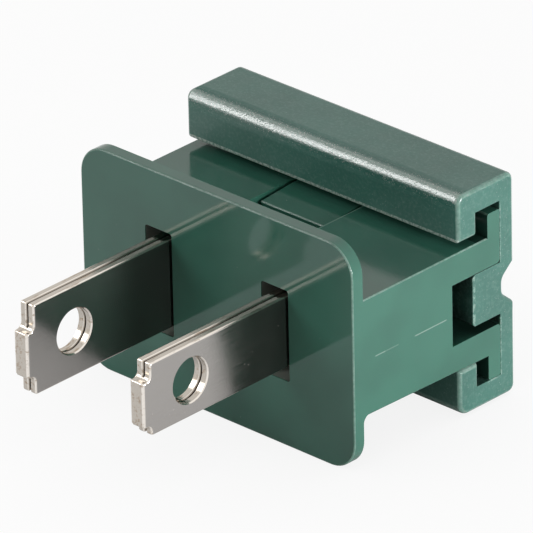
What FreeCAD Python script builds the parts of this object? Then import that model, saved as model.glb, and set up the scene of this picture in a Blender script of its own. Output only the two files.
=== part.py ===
import FreeCAD, Part
import os
import Sketcher
from FreeCAD import Placement, Rotation, Vector

# Slide-on two-blade plug for flat two-core lamp cord, in millimetres.
# X runs along the plug's width, the blades point along -Y, +Z is up.
# The origin is the centre of the flange's front face, which meets the socket.

DOCUMENT = FreeCAD.newDocument("SlideOnPlug")

# Every size that can be set by itself, with what it measures.
SIZES = [
    ("plug_width", 29.70, "flange, block and cover across the plug"),
    ("flange_height", 19.80, "flange from bottom edge to top edge"),
    ("flange_thickness", 1.18, "flange plate"),
    ("flange_corner", 2.70, "radius of the flange's four corners"),
    ("flange_edge", 0.16, "radius round the flange's front edge"),
    ("block_height", 10.60, "body block between its top and bottom faces"),
    ("block_drop", 0.21, "block's middle below the flange's middle"),
    ("block_draft", 0.32, "rise of the block's bottom face towards the flange"),
    ("block_edge", 0.10, "bevel of the block's end edges"),
    ("block_root", 0.60, "fillet where the block's bottom face meets the flange"),
    ("body_depth", 17.08, "flange front face to the rails' rear face"),
    ("rail_thickness", 1.40, "rails that carry the cover"),
    ("rail_edge", 0.20, "radius of the rails' long edges"),
    ("channel_height", 5.45, "cord channel, for a flat cord on edge"),
    ("channel_drop", 0.27, "channel's middle below the flange's middle"),
    ("channel_depth", 5.60, "cord channel in from the rear face"),
    ("channel_edge", 0.35, "radius of the channel's rear edges"),
    ("blade_spacing", 12.70, "blade middle to blade middle"),
    ("blade_offset", 0.62, "blade pair to the right of the plug's middle"),
    ("blade_rise", 0.41, "blades' middle above the flange's middle"),
    ("blade_reach", 16.30, "blade tip out from the flange's face"),
    ("blade_thickness", 1.52, "both leaves and the slit between them"),
    ("blade_slit", 0.12, "slit between the two leaves"),
    ("blade_edge", 0.18, "radius of the sheet's outer edges"),
    ("fold_edge", 0.27, "radius of the fold's upright edges"),
    ("slit_edge", 0.13, "bevel of the leaves' edges along the slit"),
    ("hole_edge", 0.10, "bevel round the hole on both leaves"),
    ("neutral_width", 7.92, "wide blade"),
    ("line_width", 6.35, "narrow blade"),
    ("fold_width", 3.95, "fold left standing at the tip"),
    ("fold_drop", 0.32, "fold's middle below the blade's middle"),
    ("neutral_notch", 0.82, "wide blade's corner notches, along the blade"),
    ("line_notch", 0.84, "narrow blade's corner notches, along the blade"),
    ("notch_round", 0.50, "concave corner of the notches"),
    ("leaf_corner", 0.22, "radius of the leaves' corners beside the notches"),
    ("hole_setback", 5.29, "blade tip to the middle of the hole"),
    ("hole_diameter", 3.86, "hole through both leaves"),
    ("pocket_width", 2.93, "pocket round a blade's root, across"),
    ("pocket_depth", 6.00, "pocket in from the flange's face"),
    ("pocket_corner", 0.25, "radius of the pocket's corners"),
    ("pocket_side_gap", 0.15, "blade to the pocket's right wall"),
    ("pocket_top_gap", 0.45, "blade's top edge to the pocket's top"),
    ("neutral_bottom_gap", 0.87, "wide blade's bottom edge to its pocket"),
    ("line_bottom_gap", 1.30, "narrow blade's bottom edge to its pocket"),
    ("blade_fit", 0.03, "blade to the slot that holds it, each side"),
    ("shoulder_wall", 1.30, "block between the blades' shoulders and the channel"),
    ("prong_width", 1.60, "piercing prong where it leaves the blade"),
    ("prong_tip", 0.30, "piercing prong at its point"),
    ("prong_taper", 1.30, "length of the prong's point"),
    ("prong_gap", 0.48, "prong's point to the cover's tongue"),
    ("conductor_spacing", 2.60, "flat cord's two conductors, middle to middle"),
    ("window_width", 7.55, "latch window in the block's top face"),
    ("window_shift", -0.25, "latch window's middle across the plug"),
    ("window_setback", 0.88, "window's rear wall to the rails"),
    ("window_length", 6.90, "latch window along the block"),
    ("window_floor", 0.70, "wall between the window and the cord channel"),
    ("latch_gap", 0.32, "window walls to the latch tongue's sides"),
    ("latch_front_gap", 1.25, "window's front wall to the latch's free edge"),
    ("latch_dip", 0.36, "latch's free edge below the block's top face"),
    ("latch_seat", 0.08, "latch's rear part below the block's top face"),
    ("latch_ramp", 3.90, "length of the latch's ramp"),
    ("latch_edge", 0.16, "radius of the latch's free edge"),
    ("latch_thickness", 0.80, "latch tongue"),
    ("cover_play", 0.72, "free height between the cover's lips and the block"),
    ("cover_wall", 2.05, "cover's top and bottom bars"),
    ("cover_back", 1.70, "cover's rear wall"),
    ("stand_gap", 0.21, "cover's underside above the flange's bottom edge"),
    ("cover_round", 0.70, "radius of the cover's long outer edges"),
    ("cover_foot_round", 1.10, "radius of the cover's lower front edge"),
    ("cover_end_round", 0.40, "radius round the cover's ends"),
    ("lip_thickness", 2.25, "cover's lips, front to rear"),
    ("lip_edge", 0.20, "radius of the lips' inner edges"),
    ("hook_gap", 1.18, "lips' rear faces to the rails"),
    ("seat_gap", 0.03, "cover's lower lip and bar to the body under it"),
    ("slide_gap", 0.03, "cover's rear wall to the rails"),
    ("tongue_gap", 0.05, "top of the cover's tongue to the channel's top"),
    ("cord_room", 2.40, "channel floor to the front of the cover's tongue"),
    ("tongue_edge", 0.36, "radius of the tongue's front edges"),
    ("groove_mouth", 3.60, "rear groove at its mouth"),
    ("groove_floor", 1.36, "rear groove at its floor"),
    ("groove_depth", 1.33, "rear groove in from the cover's rear face"),
    ("groove_round", 0.90, "radius where the groove's floor meets its sides"),
    ("groove_lip", 0.30, "radius of the groove's mouth"),
]

sheet = DOCUMENT.addObject("Spreadsheet::Sheet", "dim")
for row, (alias, size, meaning) in enumerate(SIZES, start=1):
    sheet.set(f"A{row}", alias)
    sheet.set(f"B{row}", str(size))
    sheet.setAlias(f"B{row}", alias)
    sheet.set(f"C{row}", meaning)
DOCUMENT.recompute()

# Places worked out from the sizes. Each is an expression over the sheet's cells.
BLOCK_MIDDLE = "(-dim.block_drop)"
BLOCK_TOP = f"({BLOCK_MIDDLE} + dim.block_height / 2)"
BLOCK_BOTTOM = f"({BLOCK_MIDDLE} - dim.block_height / 2)"
RAIL_FRONT = "(dim.body_depth - dim.rail_thickness)"
COVER_LOW = "(dim.stand_gap - dim.flange_height / 2)"
INSIDE_LOW = f"({COVER_LOW} + dim.cover_wall)"
RAIL_BOTTOM = f"({INSIDE_LOW} + dim.seat_gap)"
RAIL_TOP = f"({BLOCK_TOP} + {BLOCK_BOTTOM} - {RAIL_BOTTOM})"
CHANNEL_FLOOR = "(dim.body_depth - dim.channel_depth)"
CHANNEL_MIDDLE = "(-dim.channel_drop)"
CHANNEL_TOP = f"({CHANNEL_MIDDLE} + dim.channel_height / 2)"
CHANNEL_BOTTOM = f"({CHANNEL_MIDDLE} - dim.channel_height / 2)"

WINDOW_REAR = f"({RAIL_FRONT} - dim.window_setback)"
WINDOW_FRONT = f"({WINDOW_REAR} - dim.window_length)"
LATCH_FRONT = f"({WINDOW_FRONT} + dim.latch_front_gap)"
LATCH_HIGH = f"({BLOCK_TOP} - dim.latch_seat)"
LATCH_LOW = f"({BLOCK_TOP} - dim.latch_dip)"

LIP_LOW = f"({BLOCK_BOTTOM} - dim.seat_gap)"
LIP_HIGH = f"({LIP_LOW} + dim.block_height + dim.cover_play)"
COVER_MIDDLE = f"(({LIP_LOW} + {LIP_HIGH}) / 2)"
INSIDE_HIGH = f"(2 * {COVER_MIDDLE} - {INSIDE_LOW})"
COVER_HIGH = f"({INSIDE_HIGH} + dim.cover_wall)"
LIP_REAR = f"({RAIL_FRONT} - dim.hook_gap)"
LIP_FRONT = f"({LIP_REAR} - dim.lip_thickness)"
COVER_INSIDE = "(dim.body_depth + dim.slide_gap)"
COVER_REAR = f"({COVER_INSIDE} + dim.cover_back)"
TONGUE_FRONT = f"({CHANNEL_FLOOR} + dim.cord_room)"
TONGUE_HIGH = f"({CHANNEL_TOP} - dim.tongue_gap)"
TONGUE_LOW = f"(2 * {COVER_MIDDLE} - {TONGUE_HIGH})"

BLADE_SHOULDER = f"({CHANNEL_FLOOR} - dim.shoulder_wall)"
PRONG_POINT = f"({TONGUE_FRONT} - dim.prong_gap)"
BLADE_TIP = "(-dim.blade_reach)"
LEAF = "((dim.blade_thickness - dim.blade_slit) / 2)"

# The wide blade is on the left and pierces the upper conductor.
BLADES = {
    "neutral": {
        "side": -1,
        "width": "dim.neutral_width",
        "notch": "dim.neutral_notch",
        "bottom_gap": "dim.neutral_bottom_gap",
        "prong": f"({CHANNEL_MIDDLE} + dim.conductor_spacing / 2)",
    },
    "line": {
        "side": 1,
        "width": "dim.line_width",
        "notch": "dim.line_notch",
        "bottom_gap": "dim.line_bottom_gap",
        "prong": f"({CHANNEL_MIDDLE} - dim.conductor_spacing / 2)",
    },
}

# The property that holds each edge feature's size.
EDGE_SIZE = {"Fillet": "Radius", "Chamfer": "Size"}

# How near counts as touching, and how far one cut or pad runs past another.
TOUCH = 1e-4
OVERLAP = 0.30


def blade_middle(blade):
    """Where a blade's middle plane stands across the plug."""
    return f"({blade['side']} * dim.blade_spacing / 2 + dim.blade_offset)"


def new_body(label):
    body = DOCUMENT.addObject("PartDesign::Body", label)
    body.Label = label
    return body


def number(expression):
    """The present value of an expression."""
    return float(sheet.evalExpression(expression.replace("dim.", "")))


def new_sketch(body, name, role, lift="0"):
    """A sketch on one of the body's own planes, lifted along the plane's normal."""
    sketch = body.newObject("Sketcher::SketchObject", name)
    plane = next(item for item in body.Origin.OriginFeatures if item.Role == role)
    sketch.AttachmentSupport = (plane, [""])
    sketch.MapMode = "FlatFace"
    sketch.setExpression(".AttachmentOffset.Base.z", lift)
    return sketch


def bind_point(sketch, line, end, across, up):
    """Ties one end of a line to its two coordinates."""
    for kind, expression in (("DistanceX", across), ("DistanceY", up)):
        index = sketch.addConstraint(Sketcher.Constraint(kind, -1, 1, line, end, number(expression)))
        sketch.setExpression(f"Constraints[{index}]", expression)


def outline(body, name, role, points, lift="0"):
    """A closed outline of straight lines through points given as expressions."""
    sketch = new_sketch(body, name, role, lift)
    places = [Vector(number(across), number(up), 0) for across, up in points]
    count = len(points)
    for index in range(count):
        sketch.addGeometry(Part.LineSegment(places[index], places[(index + 1) % count]))
    for index in range(count):
        sketch.addConstraint(Sketcher.Constraint("Coincident", index, 2, (index + 1) % count, 1))
    for index, (across, up) in enumerate(points):
        bind_point(sketch, index, 1, across, up)
    return sketch


def rectangle(left, right, bottom, top):
    return [(left, bottom), (right, bottom), (right, top), (left, top)]


def circle(body, name, role, across, up, diameter, lift="0"):
    sketch = new_sketch(body, name, role, lift)
    middle = Vector(number(across), number(up), 0)
    sketch.addGeometry(Part.Circle(middle, Vector(0, 0, 1), number(diameter) / 2))
    bind_point(sketch, 0, 3, across, up)
    index = sketch.addConstraint(Sketcher.Constraint("Diameter", 0, number(diameter)))
    sketch.setExpression(f"Constraints[{index}]", diameter)
    return sketch


def pad(body, sketch, length, middle=False, turned=False):
    feature = body.newObject("PartDesign::Pad", sketch.Name + "Pad")
    feature.Profile = sketch
    feature.Midplane = middle
    feature.Reversed = turned
    feature.setExpression("Length", length)
    DOCUMENT.recompute()
    return feature


def pocket(body, sketch, length, middle=False, turned=False):
    before = body.Shape.Volume
    feature = body.newObject("PartDesign::Pocket", sketch.Name + "Pocket")
    feature.Profile = sketch
    feature.Midplane = middle
    feature.Reversed = turned
    feature.setExpression("Length", length)
    DOCUMENT.recompute()
    if not body.Shape.Volume < before:
        raise RuntimeError(f"{feature.Name} removed nothing")
    return feature


def work_edges(body, kind, name, size, keep):
    """Adds a fillet or chamfer to the edges of the body's last feature that keep() picks."""
    picked = [f"Edge{index}" for index, edge in enumerate(body.Shape.Edges, start=1) if keep(edge)]
    if not picked:
        raise RuntimeError(f"{name} found no edge")
    base = body.Tip
    feature = body.newObject(f"PartDesign::{kind}", name)
    feature.Base = (base, picked)
    feature.setExpression(EDGE_SIZE[kind], size)
    DOCUMENT.recompute()
    return feature


def round_edges(body, name, radius, keep):
    return work_edges(body, "Fillet", name, radius, keep)


def bevel_edges(body, name, size, keep):
    return work_edges(body, "Chamfer", name, size, keep)


def samples(edge):
    first, last = edge.ParameterRange
    return [edge.valueAt(first + share * (last - first)) for share in (0, 0.25, 0.5, 0.75, 1)]


def lies_at(edge, axis, expression):
    """True where the whole edge has one coordinate, such as y = 0."""
    place = number(expression)
    return all(abs(getattr(point, axis) - place) < TOUCH for point in samples(edge))


def runs_along(edge, axis):
    """True where the edge is straight and parallel to one axis."""
    if not isinstance(edge.Curve, (Part.Line, Part.LineSegment)):
        return False
    first, last = edge.valueAt(edge.FirstParameter), edge.valueAt(edge.LastParameter)
    span = last - first
    return abs(getattr(span, axis)) > span.Length - TOUCH


def lies_on(edge, lines):
    """True where a long edge lies on one of the (y, z) places."""
    return any(lies_at(edge, "y", across) and lies_at(edge, "z", up) for across, up in lines)


def end_half(width):
    return f"({width} / 2)"


def plug_body():
    """Flange, block, rails, cord channel and latch, moulded as one."""
    body = new_body("body")
    half_width = end_half("dim.plug_width")
    half_height = end_half("dim.flange_height")
    plate = outline(body, "Flange", "XZ_Plane",
                    rectangle(f"-{half_width}", half_width, f"-{half_height}", half_height))
    pad(body, plate, "dim.flange_thickness", turned=True)
    round_edges(body, "FlangeCorners", "dim.flange_corner", lambda edge: runs_along(edge, "y"))
    round_edges(body, "FlangeFrontEdge", "dim.flange_edge", lambda edge: lies_at(edge, "y", "0"))

    root = "(dim.flange_thickness / 2)"
    root_bottom = f"({BLOCK_BOTTOM} + dim.block_draft)"
    block = outline(body, "Block", "YZ_Plane", [
        (root, root_bottom),
        ("dim.flange_thickness", root_bottom),
        (RAIL_FRONT, BLOCK_BOTTOM),
        (RAIL_FRONT, RAIL_BOTTOM),
        ("dim.body_depth", RAIL_BOTTOM),
        ("dim.body_depth", CHANNEL_BOTTOM),
        (CHANNEL_FLOOR, CHANNEL_BOTTOM),
        (CHANNEL_FLOOR, CHANNEL_TOP),
        ("dim.body_depth", CHANNEL_TOP),
        ("dim.body_depth", RAIL_TOP),
        (RAIL_FRONT, RAIL_TOP),
        (RAIL_FRONT, BLOCK_TOP),
        (root, BLOCK_TOP),
    ])
    pad(body, block, "dim.plug_width", middle=True)

    rail_edges = [(y, z) for y in (RAIL_FRONT, "dim.body_depth") for z in (RAIL_TOP, RAIL_BOTTOM)]
    round_edges(body, "RailEdges", "dim.rail_edge",
                lambda edge: runs_along(edge, "x") and lies_on(edge, rail_edges))
    mouth_edges = [("dim.body_depth", CHANNEL_TOP), ("dim.body_depth", CHANNEL_BOTTOM)]
    round_edges(body, "ChannelMouth", "dim.channel_edge",
                lambda edge: runs_along(edge, "x") and lies_on(edge, mouth_edges))
    root_edge = [("dim.flange_thickness", root_bottom)]
    round_edges(body, "BlockRoot", "dim.block_root",
                lambda edge: runs_along(edge, "x") and lies_on(edge, root_edge))
    long_enough = number(RAIL_FRONT) / 2
    bevel_edges(body, "BlockEnds", "dim.block_edge",
                lambda edge: (lies_at(edge, "x", half_width) or lies_at(edge, "x", f"-{half_width}"))
                and edge.BoundBox.YLength > long_enough)

    for name, blade in BLADES.items():
        cut_blade_seat(body, name, blade)
    cut_latch(body)
    return body


def cut_blade_seat(body, name, blade):
    """A wide pocket at the flange, then a close slot, then a hole for the prong."""
    title = name.capitalize()
    middle = blade_middle(blade)
    right = f"({middle} + dim.blade_thickness / 2 + dim.pocket_side_gap)"
    left = f"({right} - dim.pocket_width)"
    top = f"(dim.blade_rise + {blade['width']} / 2 + dim.pocket_top_gap)"
    bottom = f"(dim.blade_rise - {blade['width']} / 2 - {blade['bottom_gap']})"
    mouth = outline(body, title + "Mouth", "XZ_Plane", rectangle(left, right, bottom, top))
    pocket(body, mouth, "dim.pocket_depth")
    corners = [(x, z) for x in (left, right) for z in (bottom, top)]
    round_edges(body, title + "MouthCorners", "dim.pocket_corner",
                lambda edge: runs_along(edge, "y") and any(
                    lies_at(edge, "x", x) and lies_at(edge, "z", z) for x, z in corners))

    half_slot = "(dim.blade_thickness / 2 + dim.blade_fit)"
    half_height = f"({blade['width']} / 2 + dim.blade_fit)"
    slot = outline(body, title + "Slot", "XZ_Plane", rectangle(
        f"({middle} - {half_slot})", f"({middle} + {half_slot})",
        f"(dim.blade_rise - {half_height})", f"(dim.blade_rise + {half_height})"))
    pocket(body, slot, f"({BLADE_SHOULDER} + dim.blade_fit)")

    half_prong = "(dim.prong_width / 2 + dim.blade_fit)"
    passage = outline(body, title + "Passage", "XZ_Plane", rectangle(
        f"({middle} - {half_slot})", f"({middle} + {half_slot})",
        f"({blade['prong']} - {half_prong})", f"({blade['prong']} + {half_prong})"))
    pocket(body, passage, f"({CHANNEL_FLOOR} + dim.cord_room / 2)")


def cut_latch(body):
    """A window in the block's top face, with a tongue rooted at its rear wall."""
    half_window = end_half("dim.window_width")
    window = outline(body, "Window", "XY_Plane", rectangle(
        f"(dim.window_shift - {half_window})", f"(dim.window_shift + {half_window})",
        WINDOW_FRONT, WINDOW_REAR), lift=BLOCK_TOP)
    pocket(body, window, f"({BLOCK_TOP} - {CHANNEL_TOP} - dim.window_floor)")

    root = f"({WINDOW_REAR} + {OVERLAP})"
    ramp_end = f"({LATCH_FRONT} + dim.latch_ramp)"
    tongue = outline(body, "Latch", "YZ_Plane", [
        (LATCH_FRONT, f"({LATCH_LOW} - dim.latch_thickness)"),
        (ramp_end, f"({LATCH_HIGH} - dim.latch_thickness)"),
        (root, f"({LATCH_HIGH} - dim.latch_thickness)"),
        (root, LATCH_HIGH),
        (ramp_end, LATCH_HIGH),
        (LATCH_FRONT, LATCH_LOW),
    ], lift="dim.window_shift")
    pad(body, tongue, "(dim.window_width - 2 * dim.latch_gap)", middle=True)
    round_edges(body, "LatchEdge", "dim.latch_edge",
                lambda edge: runs_along(edge, "x") and lies_on(edge, [(LATCH_FRONT, LATCH_LOW)]))


def slide_cover():
    """A C-shaped cover whose lips hook behind the rails; a tongue presses the cord."""
    body = new_body("slide_cover")
    section = outline(body, "Section", "YZ_Plane", [
        (LIP_FRONT, LIP_HIGH),
        (LIP_REAR, LIP_HIGH),
        (LIP_REAR, INSIDE_HIGH),
        (COVER_INSIDE, INSIDE_HIGH),
        (COVER_INSIDE, TONGUE_HIGH),
        (TONGUE_FRONT, TONGUE_HIGH),
        (TONGUE_FRONT, TONGUE_LOW),
        (COVER_INSIDE, TONGUE_LOW),
        (COVER_INSIDE, INSIDE_LOW),
        (LIP_REAR, INSIDE_LOW),
        (LIP_REAR, LIP_LOW),
        (LIP_FRONT, LIP_LOW),
        (LIP_FRONT, COVER_LOW),
        (COVER_REAR, COVER_LOW),
        (COVER_REAR, COVER_HIGH),
        (LIP_FRONT, COVER_HIGH),
    ])
    pad(body, section, "dim.plug_width", middle=True)

    floor = f"({COVER_REAR} - dim.groove_depth)"
    half_mouth = end_half("dim.groove_mouth")
    half_floor = end_half("dim.groove_floor")
    floor_edges = [(floor, f"({COVER_MIDDLE} {sign} {half_floor})") for sign in "+-"]
    mouth_edges = [(COVER_REAR, f"({COVER_MIDDLE} {sign} {half_mouth})") for sign in "+-"]
    groove = outline(body, "Groove", "YZ_Plane",
                     [floor_edges[0], mouth_edges[0], mouth_edges[1], floor_edges[1]])
    pocket(body, groove, "(dim.plug_width * 2)", middle=True)
    round_edges(body, "GrooveFloor", "dim.groove_round",
                lambda edge: runs_along(edge, "x") and lies_on(edge, floor_edges))
    round_edges(body, "GrooveMouth", "dim.groove_lip",
                lambda edge: runs_along(edge, "x") and lies_on(edge, mouth_edges))

    outer_edges = [(LIP_FRONT, COVER_HIGH), (COVER_REAR, COVER_HIGH), (COVER_REAR, COVER_LOW)]
    round_edges(body, "OuterEdges", "dim.cover_round",
                lambda edge: runs_along(edge, "x") and lies_on(edge, outer_edges))
    round_edges(body, "FootEdge", "dim.cover_foot_round",
                lambda edge: runs_along(edge, "x") and lies_on(edge, [(LIP_FRONT, COVER_LOW)]))
    lip_edges = [(y, z) for y in (LIP_FRONT, LIP_REAR) for z in (LIP_LOW, LIP_HIGH)]
    round_edges(body, "LipEdges", "dim.lip_edge",
                lambda edge: runs_along(edge, "x") and lies_on(edge, lip_edges))
    tongue_edges = [(TONGUE_FRONT, TONGUE_HIGH), (TONGUE_FRONT, TONGUE_LOW)]
    round_edges(body, "TongueEdges", "dim.tongue_edge",
                lambda edge: runs_along(edge, "x") and lies_on(edge, tongue_edges))
    half_width = end_half("dim.plug_width")
    round_edges(body, "EndEdges", "dim.cover_end_round",
                lambda edge: (lies_at(edge, "x", half_width) or lies_at(edge, "x", f"-{half_width}"))
                and on_outside(edge))
    return body


def on_outside(edge):
    """True for an end edge on the cover's outer faces and their rounded corners."""
    low, high = number(COVER_LOW), number(COVER_HIGH)
    front, rear = number(LIP_FRONT), number(COVER_REAR)
    corner = max(number("dim.cover_round"), number("dim.cover_foot_round"))
    return all(
        point.z < low + TOUCH or point.z > high - TOUCH
        or point.y < front + TOUCH or point.y > rear - TOUCH
        or ((point.z < low + corner or point.z > high - corner)
            and (point.y < front + corner or point.y > rear - corner))
        for point in samples(edge))


def folded_blade(name, blade):
    """A strip folded at the tip, notched at the fold's corners, holed and pronged."""
    body = new_body(name + "_blade")
    title = name.capitalize()
    middle = blade_middle(blade)
    low = f"(dim.blade_rise - {blade['width']} / 2)"
    high = f"(dim.blade_rise + {blade['width']} / 2)"
    fold_low = "(dim.blade_rise - dim.fold_drop - dim.fold_width / 2)"
    fold_high = "(dim.blade_rise - dim.fold_drop + dim.fold_width / 2)"
    notch = f"({BLADE_TIP} + {blade['notch']})"
    prong_low = f"({blade['prong']} - dim.prong_width / 2)"
    prong_high = f"({blade['prong']} + dim.prong_width / 2)"
    point_low = f"({blade['prong']} - dim.prong_tip / 2)"
    point_high = f"({blade['prong']} + dim.prong_tip / 2)"
    taper = f"({PRONG_POINT} - dim.prong_taper)"
    strip = outline(body, title + "Strip", "YZ_Plane", [
        (BLADE_TIP, fold_low),
        (notch, fold_low),
        (notch, low),
        (BLADE_SHOULDER, low),
        (BLADE_SHOULDER, prong_low),
        (taper, prong_low),
        (PRONG_POINT, point_low),
        (PRONG_POINT, point_high),
        (taper, prong_high),
        (BLADE_SHOULDER, prong_high),
        (BLADE_SHOULDER, high),
        (notch, high),
        (notch, fold_high),
        (BLADE_TIP, fold_high),
    ], lift=middle)
    pad(body, strip, "dim.blade_thickness", middle=True)
    round_edges(body, title + "NotchRound", "dim.notch_round",
                lambda edge: runs_along(edge, "x")
                and lies_on(edge, [(notch, fold_low), (notch, fold_high)]))
    round_edges(body, title + "LeafCorners", "dim.leaf_corner",
                lambda edge: runs_along(edge, "x") and lies_on(edge, [(notch, low), (notch, high)]))

    hole = circle(body, title + "Hole", "YZ_Plane",
                  f"({BLADE_TIP} + dim.hole_setback)", "dim.blade_rise", "dim.hole_diameter", lift=middle)
    pocket(body, hole, "(dim.blade_thickness * 2)", middle=True)

    right = f"({middle} + dim.blade_thickness / 2)"
    left = f"({middle} - dim.blade_thickness / 2)"
    round_edges(body, title + "FoldEdges", "dim.fold_edge",
                lambda edge: runs_along(edge, "z") and lies_at(edge, "y", BLADE_TIP))
    hole_reach = number("dim.hole_diameter") / 2 + TOUCH
    hole_middle = Vector(0, number(f"({BLADE_TIP} + dim.hole_setback)"), number("dim.blade_rise"))

    def on_rim(edge):
        return all(Vector(0, point.y, point.z).distanceToPoint(hole_middle) < hole_reach
                   for point in samples(edge))

    round_edges(body, title + "SheetEdges", "dim.blade_edge",
                lambda edge: (lies_at(edge, "x", left) or lies_at(edge, "x", right))
                and not on_rim(edge) and edge.BoundBox.YMax < number(BLADE_SHOULDER) + TOUCH)

    slit = outline(body, title + "Slit", "YZ_Plane", rectangle(
        f"({BLADE_TIP} + {LEAF})", f"({PRONG_POINT} + {OVERLAP})",
        f"({low} - {OVERLAP})", f"({high} + {OVERLAP})"), lift=middle)
    pocket(body, slit, "dim.blade_slit", middle=True)

    inner_left = f"({middle} - dim.blade_slit / 2)"
    inner_right = f"({middle} + dim.blade_slit / 2)"
    slit_end = number(f"({BLADE_TIP} + {LEAF})")
    bevel_edges(body, title + "SlitEdges", "dim.slit_edge",
                lambda edge: (lies_at(edge, "x", inner_left) or lies_at(edge, "x", inner_right))
                and not on_rim(edge) and edge.BoundBox.YMax > slit_end + TOUCH
                and edge.BoundBox.YMax < number(BLADE_SHOULDER) + TOUCH)
    bevel_edges(body, title + "HoleEdges", "dim.hole_edge", on_rim)
    return body


def check(parts):
    """Stops before anything is written if a feature or a solid has failed."""
    for item in DOCUMENT.Objects:
        if {"Invalid", "Error"} & set(item.State):
            raise RuntimeError(f"{item.Name} failed: {item.State}")
    for part in parts:
        if part.Shape.isNull() or not part.Shape.isValid() or len(part.Shape.Solids) != 1:
            raise RuntimeError(f"{part.Label} isn't one valid solid")


def main():
    parts = [plug_body(), slide_cover()]
    parts += [folded_blade(name, blade) for name, blade in BLADES.items()]
    for part in parts:
        part.Placement = Placement(Vector(0, 0, 0), Rotation())
    DOCUMENT.recompute()
    check(parts)
    os.makedirs("parts", exist_ok=True)
    for part in parts:
        part.Shape.exportStep(f"parts/{part.Label}.step")
        box = part.Shape.BoundBox
        print(f"{part.Label}: {part.Shape.Volume:.2f} mm3, "
              f"X {box.XMin:.2f}..{box.XMax:.2f}, Y {box.YMin:.2f}..{box.YMax:.2f}, "
              f"Z {box.ZMin:.2f}..{box.ZMax:.2f}")


main()
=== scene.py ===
import math
from collections import namedtuple
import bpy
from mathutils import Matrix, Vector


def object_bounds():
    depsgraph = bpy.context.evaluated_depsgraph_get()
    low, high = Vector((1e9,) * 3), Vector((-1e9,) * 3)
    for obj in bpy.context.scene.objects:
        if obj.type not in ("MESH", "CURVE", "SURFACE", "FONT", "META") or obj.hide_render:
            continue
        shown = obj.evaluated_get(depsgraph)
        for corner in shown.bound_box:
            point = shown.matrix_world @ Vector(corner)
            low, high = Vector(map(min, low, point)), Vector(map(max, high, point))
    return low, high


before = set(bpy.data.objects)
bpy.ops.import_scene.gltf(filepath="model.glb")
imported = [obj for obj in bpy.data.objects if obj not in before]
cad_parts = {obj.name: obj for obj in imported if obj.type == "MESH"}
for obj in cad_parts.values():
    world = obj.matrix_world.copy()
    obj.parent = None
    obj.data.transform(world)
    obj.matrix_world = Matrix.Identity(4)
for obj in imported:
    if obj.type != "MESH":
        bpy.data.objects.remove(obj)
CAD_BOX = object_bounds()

from types import SimpleNamespace

import bpy
from bpy.props import FloatProperty, FloatVectorProperty, PointerProperty
from mathutils import Matrix, Vector

# Looks and stage for a slide-on two-blade plug: green moulded plastic and
# nickel-plated blades on a pale floor under soft studio light. Every visible
# shape of the plug is in its own solids.

bl_info = {
    "name": "Slide-on Plug",
    "version": (1, 0, 0),
    "blender": (4, 5, 0),
    "location": "View3D > Sidebar > Plug",
    "description": "Dresses a slide-on two-blade plug and sets up its studio",
    "category": "Object",
}

MM = 0.001

# The view was fitted to the photograph, which is taken to be 533 pixels square.
VIEW_AZIMUTH = 43.979
VIEW_ELEVATION = 26.875
VIEW_ROLL = -1.232
VIEW_DISTANCE = 755.53 * MM
VIEW_ACROSS = 3.958 * MM
VIEW_UP = 3.204 * MM
PHOTO_SIZE = 533
FOCAL_PIXELS = 9521.2
SENSOR = 36.0
CLIP_NEAR = 0.01
CLIP_FAR = 20.0

# The studio's floor and room.
FLOOR_HALF = 3.0
# How far the floor's painted shadow reaches, and how dark it gets to the camera.
SHADOW_REACH = 25 * MM
SHADOW_LEVEL = 0.92
GLOW_SHARE = 0.95
ROOM_COLOUR = (1.0, 0.985, 0.96)

# Places on the plug, in the frame's metres: X is across, Y is back from the
# flange's face and Z is up. A mark fades out over FADE, over THIN where it is
# narrow and over WIDE_FADE where it is soft.
FADE = 0.1 * MM
THIN = 0.05 * MM
WIDE_FADE = 0.2 * MM
END_X = 14.85 * MM

# The body.
FACE_DEPTH = 0.02 * MM
FACE_FADE = 0.28 * MM
FLANGE_BACK = 1.18 * MM
PARTING_HEIGHT = -0.30 * MM
PARTING_HALF = 0.03 * MM
DASH_FADE = 0.25 * MM
# Each dash of the parting line: its middle and half length along Y, and how well it shows.
PARTING_DASHES = (
    (8.95 * MM, 1.70 * MM, 1.0),
    (3.10 * MM, 0.45 * MM, 0.9),
    (4.45 * MM, 0.60 * MM, 0.35),
)
WINDOW_RIM_X = 3.575 * MM
WINDOW_RIM_FRONT = 8.1 * MM
WINDOW_TOP = 5.0 * MM
CHANNEL_FLOOR = 11.48 * MM
CHANNEL_HALF = 3.0 * MM
POCKET_HALF = 2.1 * MM
POCKET_FRONT = 0.15 * MM
POCKET_FADE = 0.13 * MM
POCKET_BACK = 6.1 * MM
POCKET_RISE = 4.7 * MM

# The cover: its groove, tongue, lips and upper front edge.
COVER_FRONT = 12.25 * MM
COVER_TOP = 9.93 * MM
GROOVE_FRONT = 17.2 * MM
GROOVE_HALF = 2.4 * MM
SEAM_Y = 17.17 * MM
SEAM_FRONT = 15.6 * MM
SEAM_DROP = 7.70 * MM
TONGUE_HALF = 2.4 * MM
TONGUE_CORNER = 14.03 * MM
UNDERCUT_Y = 15.09 * MM
UNDERCUT_HALF = 0.60 * MM
UNDERCUT_HEIGHT = 6.4 * MM
UNDERCUT_RISE = 1.5 * MM
# Where a highlight is painted along the upper lip's lower corner.
LIP_HIGHLIGHT_BACK = 12.38 * MM
LIP_HIGHLIGHT_HEIGHT = 5.98 * MM
LIP_HIGHLIGHT_HALF = 0.12 * MM
LIP_HIGHLIGHT_FADE = 0.06 * MM

# Distances from the cover's upper front edge, from the far end of a mark to its full strength.
EDGE_RUBBED = (1.4 * MM, 0.6 * MM)
EDGE_GLINTS = (1.5 * MM, 0.4 * MM)
EDGE_POLISHED = (0.85 * MM, 0.45 * MM)
EDGE_FALLING = (1.6 * MM, 0.2 * MM)
END_AWAY = 5 * MM

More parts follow.
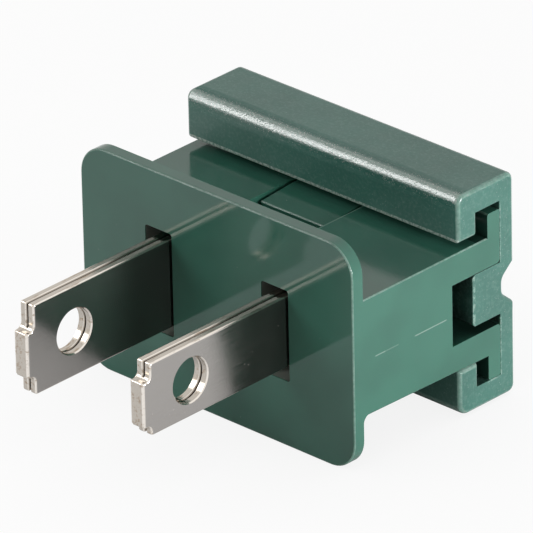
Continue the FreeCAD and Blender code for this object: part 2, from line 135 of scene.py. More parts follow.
# The blades.
BLADES_X = 0.62 * MM
BLADE_HALF_SPACING = 6.35 * MM
BLADES_RISE = 0.41 * MM
FOLD_END = -15.5 * MM
SLIT_HALF = 0.08 * MM
SLIT_FADE = 0.09 * MM
TWIST_MIDDLE = -8.0 * MM
# Span along the blades over which shade is painted near the flange.
ROOT_SPAN = (-9.5 * MM, -3.5 * MM)

# How squarely a surface faces along an axis, from a mark's outer limit to its full strength.
BEVEL_FACING = (0.992, 0.95)
CORNER_FACING = (0.25, 0.08)
END_FACING = (0.3, 0.9)
BROAD_FACING = (0.90, 0.99)
# Facing that gets the painted highlight of the sheet's rounded corners.
ROLLED_HIGHLIGHT_FROM = (0.10, 0.35)
ROLLED_HIGHLIGHT_TO = (0.985, 0.90)

# The part of a noise's range that holds nearly all of its values, and the middle of it.
NOISE_RANGE = (0.3, 0.7)
NOISE_MIDDLE = (0.35, 0.65)

# How the plastic and its polished edge bend light, and how far light goes into it.
PLASTIC_IOR = 1.50
POLISH_IOR = 1.9
DEPTH_SHARE = 0.20
DEPTH_REACH = 0.7 * MM
DEPTH_TINT = (0.3, 1.0, 0.7)
PLATE_METALNESS = 0.975

Axes = namedtuple("Axes", "x y z")


def add_node(tree, kind, inputs=None, **settings):
    """Adds a node. Each input is a value or another node's output."""
    node = tree.nodes.new(kind)
    for name, value in settings.items():
        setattr(node, name, value)
    for name, value in (inputs or {}).items():
        socket = node.inputs[name]
        if isinstance(value, bpy.types.NodeSocket):
            tree.links.new(value, socket)
        else:
            socket.default_value = value
    return node


def calculate(tree, operation, *values):
    """Runs the values through a Math operation, two at a time."""
    result = values[0]
    for value in values[1:]:
        node = add_node(tree, "ShaderNodeMath", {0: result, 1: value}, operation=operation)
        result = node.outputs[0]
    return result


def product(tree, *values):
    """The values multiplied together."""
    return calculate(tree, "MULTIPLY", *values)


def total(tree, *values):
    """The values added together."""
    return calculate(tree, "ADD", *values)


def largest(tree, *values):
    """The largest of the values."""
    return calculate(tree, "MAXIMUM", *values)


def difference(tree, first, second):
    """The first value less the second."""
    return calculate(tree, "SUBTRACT", first, second)


def unsigned(tree, value):
    """The value without its sign."""
    return add_node(tree, "ShaderNodeMath", {0: value}, operation="ABSOLUTE").outputs[0]


def between(tree, value, low, high, start=0.0, end=1.0):
    """Maps a value from low..high onto start..end, smoothly and held at both ends."""
    node = add_node(tree, "ShaderNodeMapRange", {
        "Value": value, "From Min": low, "From Max": high, "To Min": start, "To Max": end,
    }, interpolation_type="SMOOTHSTEP")
    return node.outputs["Result"]


def shift(tree, share, start, end):
    """Goes smoothly from start to end as a share goes from 0 to 1."""
    return between(tree, share, 0.0, 1.0, start, end)


def beyond(tree, value, edge, fade=FADE):
    """1 past the edge, rising from 0 over the fade before it."""
    return between(tree, value, edge - fade, edge)


def short_of(tree, value, edge, fade=FADE):
    """1 up to the edge, falling to 0 over the fade past it."""
    return between(tree, value, edge + fade, edge)


def shoulder(tree, value, middle, half, fade=FADE):
    """1 within half of the middle, falling to 0 over the fade outside it."""
    return short_of(tree, unsigned(tree, difference(tree, value, middle)), half, fade)


def mix_values(tree, share, first, second):
    """The first value where the share is 0, the second where it is 1."""
    return add_node(tree, "ShaderNodeMix", {0: share, 2: first, 3: second}).outputs[0]


def opaque(colour):
    """A colour with the alpha that its socket wants."""
    return (*colour, 1.0)


def blend_colours(tree, share, first, second):
    """The first colour where the share is 0, the second where it is 1."""
    node = add_node(tree, "ShaderNodeMix", {0: share, 6: first, 7: second}, data_type="RGBA")
    return node.outputs[2]


def painted(tree, colour, share, paint):
    """A colour with a share of a plain paint over it."""
    return blend_colours(tree, share, colour, opaque(paint))


def noise(tree, place, size, detail=2.0, roughness=0.5):
    """Noise whose lumps are about this size."""
    node = add_node(tree, "ShaderNodeTexNoise", {
        "Vector": place, "Scale": 1 / size, "Detail": detail, "Roughness": roughness,
    })
    return node.outputs["Fac"]


def specks(tree, place, spacing, size, share):
    """Round specks in a share of the cells, 1 inside a speck and 0 outside."""
    cells = add_node(tree, "ShaderNodeTexVoronoi", {
        "Vector": place, "Scale": 1 / spacing, "Randomness": 1.0,
    })
    radius = size / spacing
    inside = between(tree, cells.outputs["Distance"], radius, 0.6 * radius)
    draw = add_node(tree, "ShaderNodeSeparateColor", {"Color": cells.outputs["Color"]})
    chosen = calculate(tree, "LESS_THAN", draw.outputs["Red"], share)
    return product(tree, inside, chosen)


def openness(tree, reach):
    """How open the space over the surface is, within this reach."""
    node = add_node(tree, "ShaderNodeAmbientOcclusion", {"Distance": reach}, samples=8)
    return node.outputs["AO"]


def bumped(tree, height, distance, beneath=None):
    """The surface's normal tilted by a height, on top of an earlier tilt if there is one."""
    inputs = {"Height": height, "Strength": 1.0, "Distance": distance}
    if beneath:
        inputs["Normal"] = beneath
    return add_node(tree, "ShaderNodeBump", inputs).outputs["Normal"]


def new_material(name):
    """An empty node material and its object coordinates, in metres in the plug's frame."""
    material = bpy.data.materials.new(name)
    material.use_nodes = True
    tree = material.node_tree
    tree.nodes.clear()
    place = add_node(tree, "ShaderNodeTexCoord").outputs["Object"]
    return material, tree, place


def split(tree, vector):
    """A vector's three parts."""
    parts = add_node(tree, "ShaderNodeSeparateXYZ", {"Vector": vector}).outputs
    return Axes(parts["X"], parts["Y"], parts["Z"])


def squareness(tree):
    """How squarely the surface faces along each of the plug's axes, as three shares."""
    normal = add_node(tree, "ShaderNodeNewGeometry").outputs["Normal"]
    ahead = add_node(tree, "ShaderNodeVectorMath", {0: normal}, operation="ABSOLUTE")
    return split(tree, ahead.outputs["Vector"])


def end_faces(tree, axes):
    """1 on the plug's left and right ends."""
    return beyond(tree, unsigned(tree, axes.x), END_X - FADE)


def near_blades(tree, axes, half, fade):
    """1 within half of either blade's middle, counted across."""
    across = unsigned(tree, difference(tree, axes.x, BLADES_X))
    return shoulder(tree, across, BLADE_HALF_SPACING, half, fade)


def rounded_edges(tree, axes, facing):
    """1 on bevels and rounded edges, but not in the groove or on the flange's corners."""
    bevel = between(tree, largest(tree, *facing), *BEVEL_FACING)
    in_groove = product(
        tree, beyond(tree, axes.y, GROOVE_FRONT),
        short_of(tree, unsigned(tree, axes.z), GROOVE_HALF - WIDE_FADE, WIDE_FADE))
    on_corner = product(
        tree, short_of(tree, axes.y, FLANGE_BACK), between(tree, facing.y, *CORNER_FACING))
    return product(tree, bevel, difference(tree, 1.0, largest(tree, in_groove, on_corner)))


def parting_line(tree, axes):
    """The mould's parting line: a broken ridge along both ends of the block."""
    on_line = shoulder(tree, axes.z, PARTING_HEIGHT, PARTING_HALF, THIN)
    dashes = [product(tree, shoulder(tree, axes.y, middle, half, DASH_FADE), share)
              for middle, half, share in PARTING_DASHES]
    return product(tree, on_line, end_faces(tree, axes), total(tree, *dashes))


def cord_channel(tree, axes):
    """1 inside the cord channel, on the body and on the cover's tongue."""
    return product(tree, beyond(tree, axes.y, CHANNEL_FLOOR),
                   shoulder(tree, axes.z, 0.0, CHANNEL_HALF))


def undercuts(tree, axes):
    """1 in the dark spaces behind the cover's lips, where the rails run."""
    height = unsigned(tree, axes.z)
    return product(tree, shoulder(tree, axes.y, UNDERCUT_Y, UNDERCUT_HALF, THIN),
                   shoulder(tree, height, UNDERCUT_HEIGHT, UNDERCUT_RISE, THIN))


def blade_pockets(tree, axes):
    """1 on the walls of the pockets round the blades' roots."""
    return product(tree, near_blades(tree, axes, POCKET_HALF, THIN),
                   beyond(tree, axes.y, POCKET_FRONT, POCKET_FADE),
                   short_of(tree, axes.y, POCKET_BACK),
                   short_of(tree, unsigned(tree, axes.z), POCKET_RISE))


def window_rim(tree, axes):
    """1 on the upper edge of the latch window's right wall, where a highlight is painted."""
    return product(tree, shoulder(tree, axes.x, WINDOW_RIM_X, THIN, THIN),
                   beyond(tree, axes.y, WINDOW_RIM_FRONT, WIDE_FADE),
                   beyond(tree, axes.z, WINDOW_TOP))


def cover_rim_highlights(tree, place, axes):
    """Broken lines on the cover's ends, along the rails and at its tongue's corner, where
    highlights are painted.
    """
    height = unsigned(tree, axes.z)
    upright = product(tree, shoulder(tree, axes.y, SEAM_Y, THIN, THIN),
                      beyond(tree, height, TONGUE_HALF + FADE),
                      short_of(tree, height, SEAM_DROP - FADE))
    foot = product(tree, shoulder(tree, axes.z, -SEAM_DROP, THIN, THIN),
                   beyond(tree, axes.y, SEAM_FRONT),
                   short_of(tree, axes.y, SEAM_Y - FADE))
    tongue = product(tree, shoulder(tree, axes.y, TONGUE_CORNER, FADE),
                     short_of(tree, height, TONGUE_HALF - FADE))
    broken = between(tree, noise(tree, place, 0.35 * MM, detail=3.0, roughness=0.7), 0.42, 0.58)
    return product(tree, end_faces(tree, axes), largest(tree, upright, foot, tongue), broken)


def lip_highlight(tree, place, axes):
    """A broken painted highlight along the lower corner of the cover's upper lip."""
    patches = noise(tree, place, 0.25 * MM, detail=3.0, roughness=0.7)
    return product(tree, short_of(tree, axes.y, LIP_HIGHLIGHT_BACK),
                   shoulder(tree, axes.z, LIP_HIGHLIGHT_HEIGHT, LIP_HIGHLIGHT_HALF, LIP_HIGHLIGHT_FADE),
                   between(tree, patches, 0.40, 0.58, start=0.25))


def slit_shade(tree, axes):
    """1 where the slit between a blade's two leaves comes out, away from the fold; shade is painted
    there.
    """
    return product(tree, near_blades(tree, axes, SLIT_HALF, SLIT_FADE),
                   beyond(tree, axes.y, FOLD_END, WIDE_FADE))


def moulded_colour(tree, place, plain):
    """The plastic's own colour, a little darker in broad patches."""
    drift = between(tree, noise(tree, place, 7.0 * MM), *NOISE_MIDDLE)
    return blend_colours(tree, drift, opaque([0.87 * value for value in plain]), opaque(plain))


def edge_wear_and_highlight(tree, place, look):
    """How far an edge is painted pale, partly as wear and partly as a highlight along it, uneven in
    fine and in broad patches.
    """
    fine = noise(tree, place, 0.4 * MM, detail=3.0, roughness=0.6)
    broad = noise(tree, place, 3.0 * MM, detail=1.0)
    return product(tree, between(tree, fine, *NOISE_MIDDLE, start=0.6),
                   between(tree, broad, *NOISE_MIDDLE, start=0.7), look.edge_wear_and_highlight)


def painted_shade(tree, axes, look):
    """Share of painted shade: thin in corners, thick in the cord channel and behind the lips, where
    the space over the surface is closed in.
    """
    room = openness(tree, 3.0 * MM)
    deep = largest(tree, cord_channel(tree, axes), product(tree, undercuts(tree, axes), 0.85))
    thin = between(tree, room, 0.55, 0.15, end=look.painted_shade)
    thick = between(tree, room, 0.90, 0.50, end=look.channel_painted_shade)
    return largest(tree, thin, product(tree, deep, thick))


def mark_body(tree, axes, look, skin):
    """The body's own marks: dusty pockets, a polished flange face, the parting line, and painted
    highlights along the parting line and the latch window's rim.
    """
    dusty = product(tree, blade_pockets(tree, axes), 0.8)
    skin.colour = painted(tree, skin.colour, dusty, look.pocket_colour)
    front = short_of(tree, axes.y, FACE_DEPTH, FACE_FADE)
    glossy = between(tree, skin.patches, *NOISE_RANGE,
                     look.gloss_roughness * 0.8, look.gloss_roughness * 1.2)
    skin.satin = mix_values(tree, front, skin.satin, glossy)
    skin.grain = product(tree, skin.grain, shift(tree, front, 1.0, 0.15))
    line = parting_line(tree, axes)
    skin.ripple = total(tree, skin.ripple, product(tree, line, 8.0))
    # Painted highlights: the parting line's ridge and the latch window's rim go pale.
    pale = largest(tree, product(tree, line, 0.8), product(tree, window_rim(tree, axes), 0.5))
    skin.colour = painted(tree, skin.colour, pale, look.wear_and_highlight_colour)


def mark_cover(tree, place, axes, look, skin):
    """The cover's own marks: a painted highlight along its lip, painted highlights in broken lines
    and random mottling.
    """
    # Painted highlight along the upper lip's lower corner.
    skin.colour = painted(tree, skin.colour, lip_highlight(tree, place, axes), look.dust_and_glint_colour)
    # Painted highlights along the cover's ends; the mottle is random tone.
    rim_highlights = product(tree, cover_rim_highlights(tree, place, axes), 0.9)
    cloud = noise(tree, place, 0.30 * MM, detail=3.0, roughness=0.7)
    pale = largest(tree, rim_highlights, between(tree, cloud, 0.45, 0.70, end=look.mottle))
    skin.colour = painted(tree, skin.colour, pale, look.wear_and_highlight_colour)


def from_front_edge(tree, axes, facing):
    """Distance from the cover's upper front edge, made large on its ends."""
    behind = difference(tree, axes.y, COVER_FRONT)
    below = difference(tree, COVER_TOP, axes.z)
    on_end = between(tree, facing.x, *END_FACING, end=END_AWAY)
    return total(tree, largest(tree, behind, below), on_end)


def rub_front_edge(tree, place, axes, facing, look, skin):
    """The cover's upper front edge: softened, polished, coarse, with painted glints in its
    highlight.
    """
    away = from_front_edge(tree, axes, facing)
    rubbed = between(tree, away, *EDGE_RUBBED)
    # Painted glints of the edge's highlight, in pale specks near the edge.
    painted_glints = product(tree, specks(tree, place, spacing=0.17 * MM, size=0.06 * MM, share=0.55),
                     between(tree, away, *EDGE_GLINTS, end=0.9))
    skin.colour = painted(tree, skin.colour, painted_glints, look.dust_and_glint_colour)
    skin.edges = largest(tree, skin.edges, rubbed)
    skin.satin = mix_values(tree, rubbed, skin.satin, look.edge_roughness)
    skin.polish = between(tree, away, *EDGE_POLISHED)
    fall = between(tree, away, *EDGE_FALLING, end=-look.edge_fall)
    skin.softening = product(tree, fall, between(tree, axes.x, -END_X, END_X, 1.2, 0.7))


def plastic_material(name, look, is_body):
    """Moulded plastic: a satin grain, rounded edges painted pale as wear and as a highlight,
    painted shade in the gaps and specks of dust.
    """
    material, tree, place = new_material(name)
    axes = split(tree, place)
    facing = squareness(tree)
    if is_body:
        plain, roughness, grain_rise = look.colour, look.body_roughness, 1.0
        dust = specks(tree, place, spacing=1.1 * MM, size=0.05 * MM, share=0.25)
    else:
        plain, roughness, grain_rise = look.cover_colour, look.cover_roughness, 3.5
        dust = specks(tree, place, spacing=0.28 * MM, size=0.045 * MM, share=0.30)

    # What the marks add to, with heights counted in grain heights.
    skin = SimpleNamespace(polish=0.0, softening=0.0)
    skin.edges = rounded_edges(tree, axes, facing)
    skin.patches = noise(tree, place, 1.2 * MM, detail=3.0)
    skin.satin = between(tree, skin.patches, *NOISE_RANGE, roughness * 0.92, roughness * 1.08)
    skin.grain = product(tree, noise(tree, place, look.grain_size), grain_rise)
    skin.ripple = product(tree, noise(tree, place, 5.0 * MM, detail=1.0), 4.0)
    # Rounded edges painted pale: partly wear, partly a painted highlight.
    wear_and_highlight = product(tree, skin.edges, edge_wear_and_highlight(tree, place, look))
    skin.colour = painted(tree, moulded_colour(tree, place, plain), wear_and_highlight, look.wear_and_highlight_colour)
    # Painted shade, darkening corners, the cord channel and the spaces behind the lips.
    skin.colour = painted(tree, skin.colour, painted_shade(tree, axes, look), look.painted_shade_colour)
    skin.colour = painted(tree, skin.colour, product(tree, dust, 0.4), look.dust_and_glint_colour)

    if is_body:
        mark_body(tree, axes, look, skin)
    else:
        mark_cover(tree, place, axes, look, skin)
    skin.satin = total(tree, skin.satin, product(tree, dust, 0.3))
    skin.satin = mix_values(tree, skin.edges, skin.satin, look.edge_roughness)
    if not is_body:
        rub_front_edge(tree, place, axes, facing, look, skin)

    coarse = product(tree, noise(tree, place, look.edge_grain_size), skin.edges, look.edge_grain)
    softened = bumped(tree, skin.softening, 1.0)
    normal = bumped(tree, total(tree, skin.grain, skin.ripple, coarse), look.grain_height, softened)
    shader = add_node(tree, "ShaderNodeBsdfPrincipled", {
        "Base Color": skin.colour, "Roughness": skin.satin, "Normal": normal,
        "IOR": PLASTIC_IOR, "Coat Weight": skin.polish, "Coat Roughness": look.edge_roughness,
        "Coat IOR": POLISH_IOR, "Coat Normal": normal, "Subsurface Weight": DEPTH_SHARE,
        "Subsurface Scale": DEPTH_REACH, "Subsurface Radius": DEPTH_TINT,
    })
    add_node(tree, "ShaderNodeOutputMaterial", {"Surface": shader.outputs["BSDF"]})
    return material


def drawn_out(tree, place, squeeze):
    """Coordinates that stretch a noise along the blades."""
    node = add_node(tree, "ShaderNodeMapping", {"Vector": place, "Scale": (1.0, squeeze, 1.0)})
    return node.outputs["Vector"]


def plated_colour(tree, place, axes, broad, rolled_highlight, look):
    """Plate with a painted highlight on the rounded corners and a painted reflection on the narrow
    edges, stained on the edges, and with painted shade along the slits and near the flange.
    """
    # Painted highlight on the rounded corners and painted reflection on the narrow edges.
    colour = blend_colours(tree, rolled_highlight, opaque(look.edge_reflection_colour), opaque(look.rolled_highlight_colour))
    colour = painted(tree, colour, broad, look.colour)
    streaks = noise(tree, drawn_out(tree, place, 0.12), 0.30 * MM, detail=3.0, roughness=0.65)
    stained = product(tree, between(tree, streaks, 0.52, 0.70), shift(tree, broad, 0.70, 0.05))
    colour = painted(tree, colour, stained, look.stain_colour)
    # Painted shade along the slit between the leaves.
    colour = painted(tree, colour, product(tree, slit_shade(tree, axes), 0.8), look.slit_shade_colour)
    # Painted shade near the flange, deepest on the broad faces.
    root = product(tree, between(tree, axes.y, *ROOT_SPAN, end=look.root_shade),
                   shift(tree, broad, 0.5, 1.0))
    return painted(tree, colour, root, look.root_shade_colour)


def plated_material(name, look):
    """Nickel plate over folded strip: grey broad faces, painted highlights on the rounded corners,
    drawn lines.
    """
    material, tree, place = new_material(name)
    axes = split(tree, place)
    sideways = squareness(tree).x
    broad = between(tree, sideways, *BROAD_FACING)
    # Rounded corners, where a highlight is painted.
    rolled_highlight = product(tree, between(tree, sideways, *ROLLED_HIGHLIGHT_FROM),
                     between(tree, sideways, *ROLLED_HIGHLIGHT_TO))
    lines = noise(tree, drawn_out(tree, place, 0.04), 0.10 * MM, roughness=0.6)
    cloud = noise(tree, place, 3.0 * MM, detail=3.0)
    pits = product(tree, specks(tree, place, spacing=0.7 * MM, size=0.05 * MM, share=0.30), broad)
    roughness = total(
        tree, between(tree, lines, *NOISE_RANGE, look.roughness * 0.8, look.roughness * 1.2),
        between(tree, cloud, 0.4, 0.7, end=0.05), product(tree, pits, 0.35))
    height = total(
        tree, product(tree, lines, shift(tree, broad, 1.0, 0.4)),
        noise(tree, place, 0.18 * MM), product(tree, pits, -2.0))
    twist = product(tree, difference(tree, axes.y, TWIST_MIDDLE),
                    difference(tree, axes.z, BLADES_RISE), -look.twist)
    normal = bumped(tree, height, look.line_height, bumped(tree, twist, 1.0))
    shader = add_node(tree, "ShaderNodeBsdfPrincipled", {
        "Base Color": plated_colour(tree, place, axes, broad, rolled_highlight, look),
        "Metallic": PLATE_METALNESS, "Roughness": roughness, "Normal": normal,
    })
    add_node(tree, "ShaderNodeOutputMaterial", {"Surface": shader.outputs["BSDF"]})
    return material


def dress(node_name, material):
    """Gives every slot of one of the plug's pieces the same material."""
    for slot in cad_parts[node_name].material_slots:
        slot.material = material


def direction(azimuth, elevation):
    """Unit vector from the plug, as the views count it: 0 is in front, 90 to the right."""
    turn, rise = math.radians(azimuth), math.radians(elevation)
    return Vector((math.sin(turn) * math.cos(rise), -math.cos(turn) * math.cos(rise),
                   math.sin(rise)))


def softbox(name, level, azimuth, elevation, distance, width, height):
    """A rectangle of light whose level is what a white face turned to it would show."""
    lamp = bpy.data.lights.new(name, "AREA")
    lamp.shape = "RECTANGLE"
    lamp.size = width
    lamp.size_y = height
    lamp.energy = level * math.pi ** 2 * distance ** 2
    holder = bpy.data.objects.new(name, lamp)
    away = direction(azimuth, elevation)
    holder.location = away * distance
    holder.rotation_euler = away.to_track_quat("Z", "Y").to_euler()
    bpy.context.scene.collection.objects.link(holder)


def seen_rays(tree, rays):
    """1 for rays from the camera, from mirrors and through glass, 0 for those that only light."""
    return largest(tree, rays["Is Camera Ray"], rays["Is Glossy Ray"],
                   rays["Is Transmission Ray"])


def lay_floor(look):
    """A wide pale floor under the plug: white to the camera, apart from a painted shadow of the
    plug.
    """
    half = FLOOR_HALF
    low = CAD_BOX[0][2]
    mesh = bpy.data.meshes.new("studio_floor")
    corners = [(-half, -half, low), (half, -half, low), (half, half, low), (-half, half, low)]
    mesh.from_pydata(corners, [], [(0, 1, 2, 3)])
    floor = bpy.data.objects.new("studio_floor", mesh)
    bpy.context.scene.collection.objects.link(floor)

    material, tree, place = new_material("floor_paper")
    tint = blend_colours(tree, noise(tree, place, 30.0 * MM), opaque(look.floor_colour),
                         opaque([0.98 * value for value in look.floor_colour]))
    paper = add_node(tree, "ShaderNodeBsdfDiffuse", {"Color": tint})
    rays = add_node(tree, "ShaderNodeLightPath").outputs
    # The plug's shadow on the floor is painted: the glow darkens where the plug closes the floor
    # in, to the camera and in reflections.
    room = openness(tree, SHADOW_REACH)
    strength = mix_values(tree, rays["Is Camera Ray"], room, shift(tree, room, SHADOW_LEVEL, 1.0))
    glow = add_node(tree, "ShaderNodeEmission", {"Color": opaque((1, 1, 1)), "Strength": strength})
    surface = add_node(tree, "ShaderNodeMixShader", {
        0: product(tree, seen_rays(tree, rays), GLOW_SHARE), 1: paper.outputs[0],
        2: glow.outputs[0],
    })
    add_node(tree, "ShaderNodeOutputMaterial", {"Surface": surface.outputs[0]})
    mesh.materials.append(material)


def set_world(look):
    """A white room: full white where it is seen, softer where it lights the plug."""
    world = bpy.data.worlds.new("white_room")
    world.use_nodes = True
    tree = world.node_tree
    tree.nodes.clear()
    rays = add_node(tree, "ShaderNodeLightPath").outputs
    background = add_node(tree, "ShaderNodeBackground", {
        "Color": opaque(ROOM_COLOUR),
        "Strength": shift(tree, seen_rays(tree, rays), look.ambient, 1.0),
    })
    add_node(tree, "ShaderNodeOutputWorld", {"Surface": background.outputs[0]})
    bpy.context.scene.world = world


def set_camera():
    """The photograph's viewpoint, far off with a long lens."""
    camera = bpy.data.cameras.new("photo_view")
    camera.sensor_width = SENSOR
    camera.lens = FOCAL_PIXELS * SENSOR / PHOTO_SIZE
    camera.clip_start = CLIP_NEAR
    camera.clip_end = CLIP_FAR
    holder = bpy.data.objects.new("photo_view", camera)
    back = direction(VIEW_AZIMUTH, VIEW_ELEVATION)
    level = Vector((-back.y, back.x, 0.0)).normalized()
    upright = back.cross(level)
    roll = math.radians(VIEW_ROLL)
    across = math.cos(roll) * level + math.sin(roll) * upright
    up = math.cos(roll) * upright - math.sin(roll) * level
    place = back * VIEW_DISTANCE + across * VIEW_ACROSS + up * VIEW_UP
    turned = Matrix((across, up, back)).transposed().to_4x4()
    holder.matrix_world = Matrix.Translation(place) @ turned
    bpy.context.scene.collection.objects.link(holder)
    bpy.context.scene.camera = holder


class PlasticLook(bpy.types.PropertyGroup):
    """Colours and finishes of the body and the cover"""
    colour: FloatVectorProperty(
        name="Colour", description="Green of the moulded plastic", subtype="COLOR",
        default=(0.054, 0.192, 0.140), min=0.0, max=1.0)
    cover_colour: FloatVectorProperty(
        name="Cover colour", description="Slightly cooler green of the cover", subtype="COLOR",
        default=(0.066, 0.198, 0.161), min=0.0, max=1.0)
    # Pale green: wear and random mottle, and painted highlights on rounded edges and broken lines.
    wear_and_highlight_colour: FloatVectorProperty(
        name="Worn colour", description="Paler green of rubbed edges", subtype="COLOR",
        default=(0.28, 0.43, 0.37), min=0.0, max=1.0)
    # Paint for real dust specks, and for the painted highlight along the lip and the painted glints
    # by the cover's upper edge.
    dust_and_glint_colour: FloatVectorProperty(
        name="Dust", description="Specks of dust, flecks and flash", subtype="COLOR",
        default=(0.55, 0.60, 0.56), min=0.0, max=1.0)
    # Colour of the painted shade in corners and gaps.
    painted_shade_colour: FloatVectorProperty(
        name="Grime", description="Darkened plastic deep in the gaps", subtype="COLOR",
        default=(0.010, 0.020, 0.016), min=0.0, max=1.0)
    pocket_colour: FloatVectorProperty(
        name="Pockets", description="Dusty walls of the pockets round the blades",
        subtype="COLOR", default=(0.30, 0.31, 0.28), min=0.0, max=1.0)
    # How much of the painted shade lies in corners and in the cord channel.
    painted_shade: FloatProperty(
        name="Grime share", description="Most that the grime covers in a corner",
        subtype="FACTOR", default=0.15, min=0.0, max=1.0)
    channel_painted_shade: FloatProperty(
        name="Channel grime", description="Most that the grime covers in the cord channel",
        subtype="FACTOR", default=0.85, min=0.0, max=1.0)
    # How far rounded edges are painted pale, as wear and as a highlight.
    edge_wear_and_highlight: FloatProperty(
        name="Edge wear", description="Most that the worn colour covers an edge",
        subtype="FACTOR", default=0.85, min=0.0, max=1.0)
    edge_roughness: FloatProperty(
        name="Edge roughness", description="Rubbed edges between the lumps of their grain",
        subtype="FACTOR", default=0.14, min=0.0, max=1.0)
    body_roughness: FloatProperty(
        name="Body roughness", description="Body away from the flange's face",
        subtype="FACTOR", default=0.13, min=0.0, max=1.0)
    cover_roughness: FloatProperty(
        name="Cover roughness", description="Satin faces of the cover",
        subtype="FACTOR", default=0.37, min=0.0, max=1.0)
    gloss_roughness: FloatProperty(
        name="Gloss roughness", description="Polished flange face",
        subtype="FACTOR", default=0.08, min=0.0, max=1.0)
    grain_size: FloatProperty(
        name="Grain size", description="Width of the grain's lumps",
        subtype="DISTANCE", precision=6, default=0.20 * MM)
    grain_height: FloatProperty(
        name="Grain height", description="Height of the grain",
        subtype="DISTANCE", precision=6, default=0.003 * MM)
    edge_grain: FloatProperty(
        name="Edge grain", description="Grain on the edges, in grain heights", default=8.0)
    edge_grain_size: FloatProperty(
        name="Edge grain size", description="Width of the edge grain's lumps",
        subtype="DISTANCE", precision=6, default=0.14 * MM)
    edge_fall: FloatProperty(
        name="Edge fall", description="Softening of the cover's upper front edge",
        subtype="DISTANCE", precision=6, default=0.30 * MM)
    mottle: FloatProperty(
        name="Mottle", description="Most that the worn colour covers on the cover's faces",
        subtype="FACTOR", default=0.20, min=0.0, max=1.0)


class PlateLook(bpy.types.PropertyGroup):
    """Colours and finish of the two blades"""
    colour: FloatVectorProperty(
        name="Plate", description="Nickel plate on the blades' broad faces", subtype="COLOR",
        default=(0.46, 0.44, 0.42), min=0.0, max=1.0)
    # Narrow edges and folds painted lighter than the broad faces, as a reflection.
    edge_reflection_colour: FloatVectorProperty(
        name="Edges", description="Plate on the narrow edges and the folds", subtype="COLOR",
        default=(0.52, 0.48, 0.43), min=0.0, max=1.0)
    # Painted highlight on the sheet's rounded corners.
    rolled_highlight_colour: FloatVectorProperty(
        name="Rolled corners", description="Bright plate on the sheet's rounded corners",
        subtype="COLOR", default=(0.85, 0.80, 0.74), min=0.0, max=1.0)
    stain_colour: FloatVectorProperty(
        name="Stain", description="Brownish streaks on the edges", subtype="COLOR",
        default=(0.30, 0.21, 0.13), min=0.0, max=1.0)
    # Colour of the painted shade along the slit.
    slit_shade_colour: FloatVectorProperty(
        name="Slit", description="Dull metal along the slit between the leaves",
        subtype="COLOR", default=(0.16, 0.12, 0.08), min=0.0, max=1.0)
    # Colour of the painted shade near the flange.
    root_shade_colour: FloatVectorProperty(
        name="Root", description="Dull metal near the flange", subtype="COLOR",
        default=(0.06, 0.058, 0.052), min=0.0, max=1.0)
    root_shade: FloatProperty(
        name="Root shade", description="Most that the root's colour covers",
        subtype="FACTOR", default=0.75, min=0.0, max=1.0)
    roughness: FloatProperty(
        name="Roughness", description="Plate between its drawn lines",
        subtype="FACTOR", default=0.15, min=0.0, max=1.0)
    line_height: FloatProperty(
        name="Line height", description="Height of the drawn lines",
        subtype="DISTANCE", precision=6, default=0.002 * MM)
    twist: FloatProperty(
        name="Twist", description="Slight twist of the stamped strip, per metre", default=9.0)


class StageLook(bpy.types.PropertyGroup):
    """The floor and the lights"""
    floor_colour: FloatVectorProperty(
        name="Floor", description="Pale studio floor", subtype="COLOR",
        default=(0.90, 0.90, 0.90), min=0.0, max=1.0)
    key_level: FloatProperty(
        name="Side softbox", description="Brightness on a white face turned to it",
        default=0.98)
    front_level: FloatProperty(
        name="Front softbox", description="Brightness on a white face turned to it",
        default=0.27)
    ambient: FloatProperty(
        name="Ambient", description="Light from the room all round", default=0.22)


class PLUG_OT_dress_body(bpy.types.Operator):
    """Gives the moulded body its glossy green plastic"""
    bl_idname = "plug.dress_body"
    bl_label = "Dress Body"

    def execute(self, context):
        dress("body", plastic_material("body_plastic", context.scene.plug_plastic, True))
        return {"FINISHED"}


class PLUG_OT_dress_cover(bpy.types.Operator):
    """Gives the slide-on cover its satin green plastic"""
    bl_idname = "plug.dress_cover"
    bl_label = "Dress Cover"

    def execute(self, context):
        look = context.scene.plug_plastic
        dress("slide_cover", plastic_material("cover_plastic", look, False))
        return {"FINISHED"}


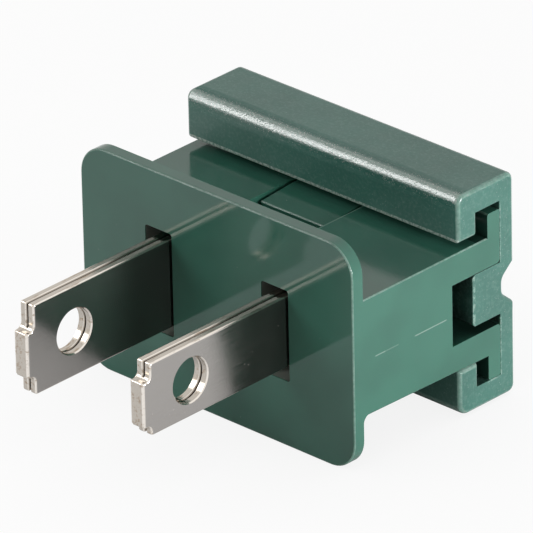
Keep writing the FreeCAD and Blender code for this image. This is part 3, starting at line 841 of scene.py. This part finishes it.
class PLUG_OT_dress_blades(bpy.types.Operator):
    """Gives both folded blades their nickel plate"""
    bl_idname = "plug.dress_blades"
    bl_label = "Dress Blades"

    def execute(self, context):
        material = plated_material("plated_metal", context.scene.plug_plate)
        for name in ("neutral_blade", "line_blade"):
            dress(name, material)
        return {"FINISHED"}


class PLUG_OT_set_stage(bpy.types.Operator):
    """Lays the floor and sets the room, the lights and the camera"""
    bl_idname = "plug.set_stage"
    bl_label = "Set Stage"

    def execute(self, context):
        look = context.scene.plug_stage
        lay_floor(look)
        set_world(look)
        softbox("side_softbox", look.key_level, azimuth=99, elevation=6,
                distance=0.45, width=0.14, height=0.14)
        softbox("front_softbox", look.front_level, azimuth=-46, elevation=35,
                distance=0.30, width=0.09, height=0.18)
        set_camera()
        context.scene.view_settings.view_transform = "Standard"
        return {"FINISHED"}


# The name that each group has on the scene.
LOOKS = {"plug_plastic": PlasticLook, "plug_plate": PlateLook, "plug_stage": StageLook}
OPERATORS = (PLUG_OT_dress_body, PLUG_OT_dress_cover, PLUG_OT_dress_blades, PLUG_OT_set_stage)


class PLUG_PT_panel(bpy.types.Panel):
    """Lists the plug's pieces and its stage"""
    bl_label = "Plug"
    bl_idname = "PLUG_PT_panel"
    bl_space_type = "VIEW_3D"
    bl_region_type = "UI"
    bl_category = "Plug"

    def draw(self, context):
        for operator in OPERATORS:
            self.layout.operator(operator.bl_idname)
        for scene_name, group in LOOKS.items():
            box = self.layout.box()
            for name in group.__annotations__:
                box.prop(getattr(context.scene, scene_name), name)


def register():
    for item in (*LOOKS.values(), *OPERATORS, PLUG_PT_panel):
        bpy.utils.register_class(item)
    for name, group in LOOKS.items():
        setattr(bpy.types.Scene, name, PointerProperty(type=group))


def unregister():
    for name in LOOKS:
        delattr(bpy.types.Scene, name)
    for item in (PLUG_PT_panel, *reversed(OPERATORS), *LOOKS.values()):
        bpy.utils.unregister_class(item)


def main():
    register()
    bpy.ops.plug.dress_body()
    bpy.ops.plug.dress_cover()
    bpy.ops.plug.dress_blades()
    bpy.ops.plug.set_stage()


if __name__ == "__main__":
    main()
